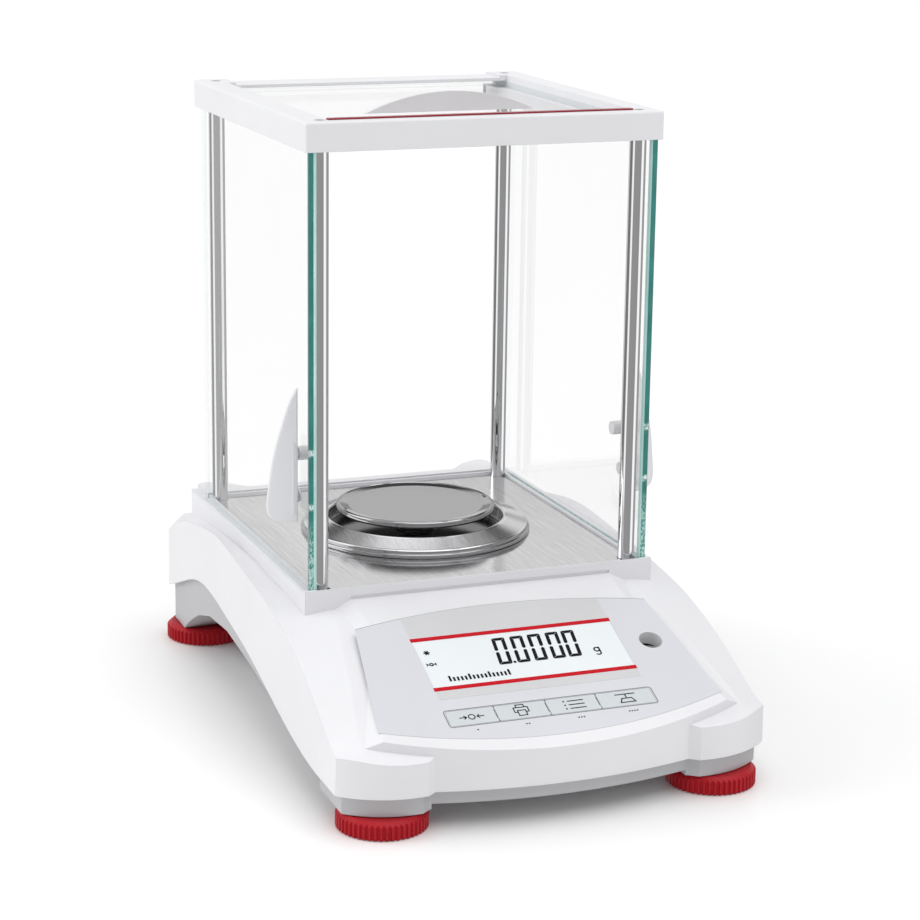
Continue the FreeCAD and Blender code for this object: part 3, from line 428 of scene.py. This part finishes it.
# Look of each material slot
FINISH = {
    "white_housing": WHITE, "grey_housing": GREY, "film": FILM, "clear_lens": LCD, "lcd": LCD,
    "light_guide": WHITE, "board": BOARD, "black_plastic": BLACK, "vial": VIAL, "cup": GREY,
    "aluminium": ALUMINIUM, "magnet_steel": STEEL_PLAIN, "copper": COPPER, "brass": BRASS,
    "port_metal": STEEL_PLAIN, "floor_steel": STEEL_FLOOR, "post_steel": STEEL_POST,
    "pan_steel": STEEL_PAN, "ring_steel": STEEL_RING,
    "clear_glass": GLASS, "red_strip": RED_STRIP, "grip_grey": GRIP, "key_film": KEY, "red_foot": RED,
    "foot_rubber": RUBBER, "steel_stud": STEEL_PLAIN,
}
# Pieces whose look differs from that of their slot
OWN_FINISH = {
    # the pan's hub and support take the painted shade
    "pan_hub": STEEL_PAINTED_SHADE, "pan_support": STEEL_PAINTED_SHADE, "frame_screws": STEEL_SCREW,
    "door_handle_left": WHITE_PART, "door_handle_right": WHITE_PART,
    "handle_caps_left": CAP, "handle_caps_right": CAP,
}


def dress_nodes():
    """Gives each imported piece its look."""
    for row in frame["record"]["subparts"]:
        name = row["node"]
        for slot in frame["nodes"][name].material_slots:
            slot.link = "OBJECT"
            slot.material = OWN_FINISH.get(name, FINISH[row["material_slot"]])


# ------------------------------------------------------------------ mesh helpers


def add_piece(name, data, materials, body, replaces=(), angle=30.0):
    """Puts a mesh into the scene as a piece that rides a body."""
    piece = bpy.data.objects.new(name, data)
    bpy.context.scene.collection.objects.link(piece)
    for material in materials:
        data.materials.append(material)
    data.shade_smooth()
    data.set_sharp_from_angle(angle=math.radians(angle))
    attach(piece, body)
    if replaces:
        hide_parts(*replaces)
    return piece


def mesh_of(name, points, faces, tags=None):
    """Mesh from points in millimetres, with each face's material number."""
    data = bpy.data.meshes.new(name)
    data.from_pydata([Vector(p) * MM for p in points], [], faces)
    if tags:
        for polygon, tag in zip(data.polygons, tags):
            polygon.material_index = tag
    mesh = bmesh.new()
    mesh.from_mesh(data)
    bmesh.ops.recalc_face_normals(mesh, faces=mesh.faces)
    mesh.to_mesh(data)
    mesh.free()
    return data


def softened(points, radius, steps=4):
    """Closed profile with its corners rounded, each entry (r, z, tag)."""
    result = []
    count = len(points)
    for i, (r, z, tag) in enumerate(points):
        here = Vector((r, z))
        before = Vector(points[i - 1][:2]) - here
        after = Vector(points[(i + 1) % count][:2]) - here
        size = min(radius, 0.45 * before.length, 0.45 * after.length)
        if r < 0.01 or size < 0.01:
            result.append((r, z, tag))
            continue
        a = here + before.normalized() * size
        b = here + after.normalized() * size
        for k in range(steps + 1):
            t = k / steps
            p = a * (1 - t) ** 2 + here * 2 * t * (1 - t) + b * t * t
            result.append((p.x, p.y, tag))
    return result


def lathe(name, profile, centre, segments, dent=None):
    """Solid of revolution from a closed profile; dent(r, angle, z) may lower a point."""
    points = []
    rings = []
    for r, z, _ in profile:
        if r < 0.01:
            rings.append([len(points)] * segments)
            points.append((centre[0], centre[1], z))
            continue
        ring = []
        for k in range(segments):
            angle = 2 * math.pi * k / segments
            height = dent(r, angle, z) if dent else z
            ring.append(len(points))
            points.append((centre[0] + r * math.cos(angle), centre[1] + r * math.sin(angle), height))
        rings.append(ring)
    faces = []
    tags = []
    count = len(profile)
    for i in range(count):
        a = rings[i]
        b = rings[(i + 1) % count]
        if a[0] == a[1] and b[0] == b[1]:
            continue
        for k in range(segments):
            n = (k + 1) % segments
            face = [a[k], a[n], b[n], b[k]]
            faces.append(tuple(dict.fromkeys(face)))
            tags.append(profile[i][2])
    return mesh_of(name, points, faces, tags)


def on_panel(x, s, lift):
    """Point of the console, at a height above its face."""
    y = PANEL_FOOT.y + s * math.cos(TILT) - lift * math.sin(TILT)
    z = PANEL_FOOT.z + s * math.sin(TILT) + lift * math.cos(TILT)
    return (x, y, z)


class Print:
    """Thin printed shapes on the console, gathered into one mesh."""

    def __init__(self, low=PRINT_LOW, thick=PRINT_T):
        self.points = []
        self.faces = []
        self.low = low
        self.high = low + thick

    def area(self, outline):
        """Filled outline, given as (x, s) points."""
        start = len(self.points)
        count = len(outline)
        for lift in (self.low, self.high):
            self.points += [on_panel(x, s, lift) for x, s in outline]
        self.faces.append(tuple(range(start + count - 1, start - 1, -1)))
        self.faces.append(tuple(range(start + count, start + 2 * count)))
        for i in range(count):
            n = (i + 1) % count
            self.faces.append((start + i, start + n, start + count + n, start + count + i))

    def stroke(self, path, width, closed=False):
        """Line of an even width along (x, s) points."""
        start = len(self.points)
        count = len(path)
        for i in range(count):
            before = Vector(path[i - 1]) if closed or i > 0 else Vector(path[i])
            after = Vector(path[(i + 1) % count]) if closed or i < count - 1 else Vector(path[i])
            here = Vector(path[i])
            ways = [w.normalized() for w in (here - before, after - here) if w.length > 1e-6]
            way = sum(ways, Vector((0, 0))).normalized()
            side = Vector((-way.y, way.x))
            reach = 0.5 * width / max(0.5, abs(side.dot(Vector((-ways[0].y, ways[0].x)))))
            for sign in (1, -1):
                p = here + side * reach * sign
                self.points += [on_panel(p.x, p.y, self.low), on_panel(p.x, p.y, self.high)]
        last = count if closed else count - 1
        for i in range(last):
            a = start + 4 * i
            b = start + 4 * ((i + 1) % count)
            self.faces += [
                (a + 1, a + 3, b + 3, b + 1),
                (a, b, b + 2, a + 2),
                (a, a + 1, b + 1, b),
                (a + 2, b + 2, b + 3, a + 3),
            ]
        if not closed:
            end = start + 4 * (count - 1)
            self.faces += [(start, start + 2, start + 3, start + 1), (end, end + 1, end + 3, end + 2)]

    def done(self, name, material, body):
        """Makes the piece and puts it on its body."""
        add_piece(name, mesh_of(name, self.points, self.faces), [material], body)


def circle(x, s, r, count=24, start=0.0, end=360.0):
    """Points round a circle, the last left out when it is a full turn."""
    full = end - start >= 360.0
    steps = count if full else count + 1
    span = math.radians(end - start)
    angles = [math.radians(start) + span * k / count for k in range(steps)]
    return [(x + r * math.cos(a), s + r * math.sin(a)) for a in angles]


def rounded_box(x0, x1, s0, s1, r):
    """Outline of a rectangle with round corners."""
    corners = [(x1 - r, s0 + r, -90), (x1 - r, s1 - r, 0), (x0 + r, s1 - r, 90), (x0 + r, s0 + r, 180)]
    return [p for x, s, a in corners for p in circle(x, s, r, 5, a, a + 90.0)]


# ------------------------------------------------------------------ glass panes


def pane(name, node, body, thin, fronts=(), outward=None, edge=GLASS_DEEP):
    """Glass pane with small arrises; thin is the axis across its thickness.

    The edges that face one of the fronts get the edge's look, the others are half clear; the arrises beside
    them get a painted highlight, and a painted shade where they face outward.
    """
    low, high = (Vector(c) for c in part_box(node))
    mesh = bmesh.new()
    bmesh.ops.create_cube(mesh, size=1.0)
    for vertex in mesh.verts:
        vertex.co = Vector([low[k] + (vertex.co[k] + 0.5) * (high[k] - low[k]) for k in range(3)])
    bmesh.ops.bevel(mesh, geom=mesh.edges[:], offset=ARRIS_SIZE * MM, segments=1, affect="EDGES")
    mesh.normal_update()
    for face in mesh.faces:
        share = [abs(c) for c in face.normal]
        facing = max((face.normal.dot(way) for way in fronts), default=0.0)
        if share[thin] > 0.9:
            face.material_index = GLASS_FACE
        elif outward is not None and face.normal.dot(outward) > 0.5 and face.normal.z < -0.5:
            face.material_index = GLASS_DEEP
        elif facing > 0.9:
            face.material_index = edge
        # arrises beside the front edges: painted highlight, and painted shade on the outward side
        elif facing > 0.5:
            dark = outward is not None and face.normal.dot(outward) > 0.5
            face.material_index = GLASS_PAINTED_SHADE if dark else GLASS_PAINTED_HIGHLIGHT
        else:
            face.material_index = GLASS_CLEAR
    data = bpy.data.meshes.new(name)
    mesh.to_mesh(data)
    mesh.free()
    looks = [GLASS, EDGE, ARRIS_PAINTED_HIGHLIGHT, FAR, ARRIS_PAINTED_SHADE]
    piece = add_piece(name, data, looks, body, [node], angle=20.0)
    # metal mirrors the room, not the panes
    piece.visible_glossy = False


def panes():
    """The fixed panes and the glass of the three doors."""
    sides = [Vector((-1, 0, 0)), Vector((1, 0, 0))]
    # the front pane's side edges take the painted highlight
    pane("glass_front", "front_pane", "balance_base", 1, sides, edge=GLASS_PAINTED_HIGHLIGHT)
    pane("glass_back", "back_pane", "balance_base", 1)
    front = Vector((0, -1, 0))
    pane("glass_left", "door_glass_left", "left_door", 0, [front], Vector((-1, 0, 0)))
    pane("glass_right", "door_glass_right", "right_door", 0, [front], Vector((1, 0, 0)))
    pane("glass_top", "top_glass", "top_door", 2)


# ------------------------------------------------------------------ pan and ring


def pan_notch(r, angle, z):
    """Two short slots in the pan's rim, left and right."""
    across = abs(r * math.sin(angle))
    inside = NOTCH_IN < r < NOTCH_OUT and across < NOTCH_HALF
    return z - NOTCH_DEPTH if inside and z > PAN_TOP - 0.5 else z


def pan():
    """Shallow dish with a stepped, rounded rim; the rim is darkened as a painted dark reflection and the
    underside as painted shade.
    """
    top = PAN_TOP
    profile = [
        (0.0, top - 1.0, PAN_UNDER),
        (36.4, top - 1.0, PAN_UNDER),
        (38.5, top - 2.4, PAN_RIM),
        (39.5, top - 2.4, PAN_RIM),
        (PAN_R, top - 1.6, PAN_RIM),
        (PAN_R, top + 0.25, PAN_RIM),
        (39.3, top + 0.95, PAN_RIM),
        (38.5, top + 1.0, PAN_RIM),
        (38.15, top + 0.62, PAN_RIM),
        (NOTCH_OUT + 0.01, top + 0.60, PAN_RIM),
        (NOTCH_OUT - 0.01, top + 0.59, PAN_RIM),
        (NOTCH_IN + 0.01, top + 0.40, PAN_RIM),
        (NOTCH_IN - 0.01, top + 0.39, PAN_RIM),
        (34.2, top + 0.02, PAN_RIM),
        (33.8, top, PAN_FACE),
        (0.0, top, PAN_FACE),
    ]
    data = lathe("pan_dish", softened(profile, 0.35), (0.0, PAN_Y), 360, pan_notch)
    looks = [STEEL_PAN, STEEL_PAINTED_DARK_REFLECTION, STEEL_PAINTED_SHADE]
    add_piece("pan_dish", data, looks, "pan", ["weighing_pan"], 35.0)


def ring():
    """Sloping ring round the pan, with a bright inner edge and a foot; its sides and foot are darkened as a
    painted dark reflection.
    """
    low = PLATE_TOP + 0.1
    profile = [
        (RING_IN, low, RING_SIDE),
        (45.1, low, RING_SIDE),
        (45.4, 86.8, RING_SIDE),
        (54.6, 83.9, RING_SIDE),
        (55.8, low, RING_SIDE),
        (RING_OUT, low, RING_SIDE),
        (RING_OUT, 82.7, RING_SIDE),
        (57.6, 83.3, RING_SIDE),
        (56.9, 83.45, RING_SIDE),
        (57.0, 84.5, RING_SIDE),
        (56.4, 85.2, RING_LIP),
        (55.7, 85.35, RING_FACE),
        (46.2, 88.45, RING_LIP),
        (45.4, 88.75, RING_LIP),
        (44.4, 88.5, RING_SIDE),
        (RING_IN, 87.7, RING_SIDE),
    ]
    data = lathe("ring_shield", softened(profile, 0.4), (0.0, PAN_Y), 240)
    looks = [STEEL_RING, STEEL_LIP, STEEL_PAINTED_DARK_REFLECTION]
    add_piece("ring_shield", data, looks, "ring", ["draft_ring"], 35.0)


# ------------------------------------------------------------------ console prints


def film_top(x):
    """Height of the film's upper edge at a distance from the middle."""
    rise = FILM_CROWN_S - FILM_TOP_S
    radius = (FILM_TOP_HALF**2 + rise**2) / (2 * rise)
    return FILM_CROWN_S - radius + math.sqrt(radius**2 - x**2)


def rectangle(x0, x1, s0, s1):
    """Outline of a rectangle with sharp corners."""
    return [(x0, s0), (x1, s0), (x1, s1), (x0, s1)]


def bands():
    """Grey fields above and below the display, and its two red lines."""
    marks = Print()
    steps = [LCD_HALF - 2 * LCD_HALF * k / BAND_STEPS for k in range(BAND_STEPS + 1)]
    crown = [(x, film_top(x) - 0.1) for x in steps]
    marks.area([(-LCD_HALF, WINDOW_HIGH_S), (LCD_HALF, WINDOW_HIGH_S)] + crown)
    marks.area(rectangle(-LCD_HALF, LCD_HALF, BAND_LOW_S, WINDOW_LOW_S))
    marks.done("display_bands", BAND, "balance_base")
    lines = Print()
    for low, high in STRIPS:
        lines.area(rectangle(-STRIP_HALF, STRIP_HALF, low, high))
    lines.done("display_lines", PRINT_RED, "balance_base")


def digit(marks, x, s):
    """Seven-segment nought with its corners cut, leaning to the right."""
    w = DIGIT_W
    h = DIGIT_H
    t = SEGMENT_T
    cut = SEGMENT_CUT + SEGMENT_GAP
    nick = 0.4 * SEGMENT_CUT + SEGMENT_GAP
    inner = SEGMENT_T + SEGMENT_GAP
    step = 0.5 * SEGMENT_CUT
    mid = 0.5 * h

    def lean(points):
        marks.area([(x + px + DIGIT_SLANT * (py / h - 1.0), s + py) for px, py in points])

    for base, way in ((h, -1), (0.0, 1)):
        lean(
            [
                (cut, base),
                (w - cut, base),
                (w - nick, base + way * step),
                (w - inner, base + way * t),
                (inner, base + way * t),
                (nick, base + way * step),
            ][::way]
        )
    for low, high in ((0.0, mid - WAIST_GAP), (mid + WAIST_GAP, h)):
        for edge, way in ((0.0, 1), (w, -1)):
            outer = low if low == 0.0 else high
            turn = 1 if outer == low else -1
            other = high if outer == low else low
            side = [
                (edge, outer + turn * cut),
                (edge + way * step, outer + turn * nick),
                (edge + way * t, outer + turn * inner),
                (edge + way * t, other - turn * SEGMENT_TIP),
                (edge + way * 0.5 * t, other),
                (edge, other - turn * SEGMENT_TIP),
            ]
            lean(side[:: way * turn])


def letter_g(marks, x, s, size):
    """Unit sign for grams."""
    r = 0.29 * size
    bowl = circle(x, s + 0.5 * size, r)
    marks.stroke(bowl, SIGN_LINE, closed=True)
    hook = circle(x, s - 0.02 * size, r, 10, -150.0, 0.0)
    marks.stroke(hook + [(x + r, s + 0.86 * size)], SIGN_LINE)


def display_marks():
    """Reading, unit and status signs on the display."""
    marks = Print()
    for x in DIGITS_X:
        digit(marks, x, DIGIT_LOW_S)
    marks.area(circle(*POINT, POINT_R, 12))
    letter_g(marks, *UNIT, UNIT_SIZE)
    x, s = STAR
    for angle in (0.0, 60.0, 120.0):
        a = math.radians(angle)
        dx = STAR_R * math.cos(a)
        ds = STAR_R * math.sin(a)
        marks.stroke([(x - dx, s - ds), (x + dx, s + ds)], SIGN_LINE)
    x, s = ZERO_SIGN
    marks.stroke(circle(x, s, ZERO_SIGN_R, 14), RING_LINE, closed=True)
    for way in (-1, 1):
        tip = x + way * 1.55
        back = tip + way * 0.9
        marks.stroke([(back, s + 0.8), (tip, s), (back, s - 0.8)], ICON_LINE)
    for k in range(BAR_COUNT):
        x = BAR_START + BAR_STEP * k
        tall = BAR_SHORT if k % 5 else BAR_LONG
        marks.area(rectangle(x, x + BAR_W, BAR_LOW_S, BAR_LOW_S + tall))
    marks.done("display_reading", PRINT_BLACK, "balance_base")


def zero_icon(marks, x):
    """Nought between two arrows that point at it."""
    s = 2.9
    marks.stroke(circle(x, s, 1.5, 20), ICON_LINE, closed=True)
    for way in (-1, 1):
        tip = x + way * 2.5
        back = tip + way * 1.2
        marks.stroke([(tip + way * 3.4, s), (tip, s)], ICON_LINE)
        marks.stroke([(back, s + 1.1), (tip, s), (back, s - 1.1)], ICON_LINE)


def printer_icon(marks, x):
    """Printer with a sheet above and a sheet below."""
    sheet = 1.9
    case = 3.4
    front = [(x - sheet, 2.2), (x - case, 2.2), (x - case, 5.2)]
    front += [(x + case, 5.2), (x + case, 2.2), (x + sheet, 2.2)]
    marks.stroke(front, ICON_LINE)
    marks.stroke([(x - sheet, 5.2), (x - sheet, 6.9), (x + sheet, 6.9), (x + sheet, 5.2)], ICON_LINE)
    marks.stroke(rectangle(x - sheet, x + sheet, 3.3, 0.0), ICON_LINE, closed=True)


def list_icon(marks, x):
    """Three lines of a list, each behind its dot."""
    for s in (5.4, 3.0, 0.6):
        marks.area(circle(x - 4.8, s, 0.45, 10))
        marks.stroke([(x - 3.0, s), (x + 4.8, s)], BOLD_LINE)


def tare_icon(marks, x):
    """Weighing beam over a tray."""
    marks.stroke([(x - 5.0, 5.6), (x + 5.0, 5.6)], BOLD_LINE)
    marks.stroke([(x, 5.6), (x, 2.9)], BOLD_LINE)
    tray = [(x - 3.6, 0.3), (x - 2.4, 2.9), (x + 2.4, 2.9), (x + 3.6, 0.3)]
    marks.stroke(tray, BOLD_LINE, closed=True)


def key_icons():
    """Plain pictures on the four keys, in place of words, and dots below them."""
    icons = (zero_icon, printer_icon, list_icon, tare_icon)
    for icon, name, middle, split in zip(icons, KEYS, KEY_MIDDLES, KEY_SPLITS[1:]):
        marks = Print()
        icon(marks, middle)
        if split < KEY_SPLITS[-1]:
            left = split - SPLIT_OUT
            marks.area(rectangle(left, left + SPLIT_W, SPLIT_LOW_S, SPLIT_HIGH_S))
        marks.done(name + "_sign", PRINT_BLACK, name)
    notes = Print()
    for k, middle in enumerate(KEY_MIDDLES):
        for j in range(k + 1):
            notes.area(circle(middle + NOTE_STEP * (j - 0.5 * k), NOTE_S, NOTE_R, 10))
    notes.done("key_notes", PRINT_BLACK, "balance_base")


def key_outline():
    """Fine dark line round the key strip."""
    edge = Print()
    low = KEY_LOW_S - OUTLINE_OUT
    high = KEY_HIGH_S + OUTLINE_OUT
    outline = rounded_box(-OUTLINE_HALF, OUTLINE_HALF, low, high, OUTLINE_CORNER)
    edge.stroke(outline, OUTLINE_LINE, closed=True)
    edge.done("key_outline", PRINT_GREY_AND_SHADOW, "balance_base")


def film_edge():
    """Painted shadow line round the film where it lies in its recess."""
    edge = Print(0.0, 0.03)
    steps = [FILM_TOP_HALF - 2 * FILM_TOP_HALF * k / FILM_EDGE_STEPS for k in range(FILM_EDGE_STEPS + 1)]
    edge.stroke([(x, film_top(x)) for x in steps], SHADOW_LINE)
    edge.done("film_edge", PRINT_GREY_AND_SHADOW, "balance_base")


# ------------------------------------------------------------------ spirit level


def level():
    """Pale sleeve that lines the hole of the spirit level."""
    count = 48
    outer = LEVEL_R + SLEEVE_WALL
    deep = SLEEVE_DEPTH
    points = []
    for r, lift in ((LEVEL_R + 0.05, -0.05), (outer, -SLEEVE_WALL), (outer, -deep), (LEVEL_R, -deep)):
        points += [on_panel(x, s, lift) for x, s in circle(LEVEL_X, LEVEL_S, r, count)]
    faces = []
    for i in range(4):
        for k in range(count):
            n = (k + 1) % count
            j = (i + 1) % 4
            faces.append((i * count + k, i * count + n, j * count + n, j * count + k))
    add_piece("level_sleeve", mesh_of("level_sleeve", points, faces), [SLEEVE], "balance_base")


# ------------------------------------------------------------------ stage, light and camera


def floor():
    """Plain pale ground, which metal does not mirror."""
    mesh = bmesh.new()
    bmesh.ops.create_grid(mesh, x_segments=1, y_segments=1, size=FLOOR_HALF)
    data = bpy.data.meshes.new("floor")
    mesh.to_mesh(data)
    mesh.free()
    plane = bpy.data.objects.new("floor", data)
    bpy.context.scene.collection.objects.link(plane)
    n = Nodes("floor_white")
    n.set(Base_Color=(0.96, 0.96, 0.96), Roughness=0.4)
    data.materials.append(n.material)
    plane.visible_glossy = False


def soft_sun(name, toward, strength, spread):
    """Even light from one side, with soft shadows."""
    data = bpy.data.lights.new(name, "SUN")
    data.energy = strength * math.pi
    data.angle = math.radians(spread)
    lamp = bpy.data.objects.new(name, data)
    lamp.rotation_mode = "QUATERNION"
    lamp.rotation_quaternion = (-Vector(toward)).to_track_quat("-Z", "Y")
    bpy.context.scene.collection.objects.link(lamp)


def room_stops(levels):
    """Bearing in degrees to the right of the front, as a place on a ramp."""
    return [(0.5 + bearing / 360.0, level) for bearing, level in levels]


def sky():
    """White room for the eye, even light for matt things and soft dark bands for metal to mirror."""
    world = bpy.data.worlds.new("studio")
    world.use_nodes = True
    tree = world.node_tree
    nodes = tree.nodes
    link = tree.links.new
    background = nodes["Background"]
    background.inputs["Color"].default_value = (1, 1, 1, 1)
    direction = nodes.new("ShaderNodeTexCoord").outputs["Generated"]
    front = (math.sin(LOOK_AZIMUTH), -math.cos(LOOK_AZIMUTH), 0.0)
    right = (math.cos(LOOK_AZIMUTH), math.sin(LOOK_AZIMUTH), 0.0)

    def along(way):
        """Part of the direction that points one way."""
        node = nodes.new("ShaderNodeVectorMath")
        node.operation = "DOT_PRODUCT"
        node.inputs[1].default_value = way
        link(direction, node.inputs[0])
        return node.outputs["Value"]

    def mix(share_of, first, second):
        node = nodes.new("ShaderNodeMix")
        link(share_of, node.inputs["Factor"])
        for value, socket in ((first, "A"), (second, "B")):
            if isinstance(value, float):
                node.inputs[socket].default_value = value
            else:
                link(value, node.inputs[socket])
        return node.outputs["Result"]

    def math_node(kind, first, second):
        node = nodes.new("ShaderNodeMath")
        node.operation = kind
        link(first, node.inputs[0])
        if isinstance(second, float):
            node.inputs[1].default_value = second
        else:
            link(second, node.inputs[1])
        return node.outputs["Value"]

    turn = math_node("ARCTAN2", along(right), along(front))
    bearing = math_node("ADD", math_node("DIVIDE", turn, 2 * math.pi), 0.5)
    lower = add_ramp(tree, bearing, room_stops(LOWER_ROOM))
    height = along((0.0, 0.0, 1.0))
    upper = add_ramp(tree, height, UPPER_ROOM)
    mirrored = mix(add_ramp(tree, height, [(0.0, 0.0), (0.02, 1.0)]), lower, upper)
    path = nodes.new("ShaderNodeLightPath")
    plain = mix(path.outputs["Is Camera Ray"], DIFFUSE_ROOM, 1.0)
    link(mix(path.outputs["Is Glossy Ray"], plain, mirrored), background.inputs["Strength"])
    # the room is not sampled as a light of its own, so each kind of ray gets its own strength
    world.cycles.sampling_method = "NONE"
    bpy.context.scene.world = world


def studio():
    """Room and two soft lights, one from the left and one from above."""
    sky()
    soft_sun("key", (-0.80, 0.40, 0.45), 0.33, 45.0)
    soft_sun("top", (0.15, -0.20, 1.0), 0.41, 60.0)


def camera():
    """Camera that sees the balance as it was photographed, a little rolled."""
    level_right = Vector((math.cos(LOOK_AZIMUTH), math.sin(LOOK_AZIMUTH), 0))
    level_back = Vector((math.sin(LOOK_AZIMUTH), -math.cos(LOOK_AZIMUTH), 0))
    back = level_back * math.cos(LOOK_DOWN) + Vector((0, 0, math.sin(LOOK_DOWN)))
    level_up = back.cross(level_right)
    right = level_right * math.cos(ROLL) + level_up * math.sin(ROLL)
    up = level_up * math.cos(ROLL) - level_right * math.sin(ROLL)
    data = bpy.data.cameras.new("photo_view")
    data.lens = LENS
    data.sensor_width = SENSOR
    data.clip_start = 0.05
    data.clip_end = 50.0
    cam = bpy.data.objects.new("photo_view", data)
    cam.rotation_mode = "QUATERNION"
    cam.rotation_quaternion = Matrix((right, up, back)).transposed().to_quaternion()
    cam.location = EYE
    bpy.context.scene.collection.objects.link(cam)
    bpy.context.scene.camera = cam


dress_nodes()
panes()
pan()
ring()
bands()
display_marks()
key_icons()
key_outline()
film_edge()
level()
floor()
studio()
camera()
bpy.context.scene.view_settings.view_transform = "Standard"
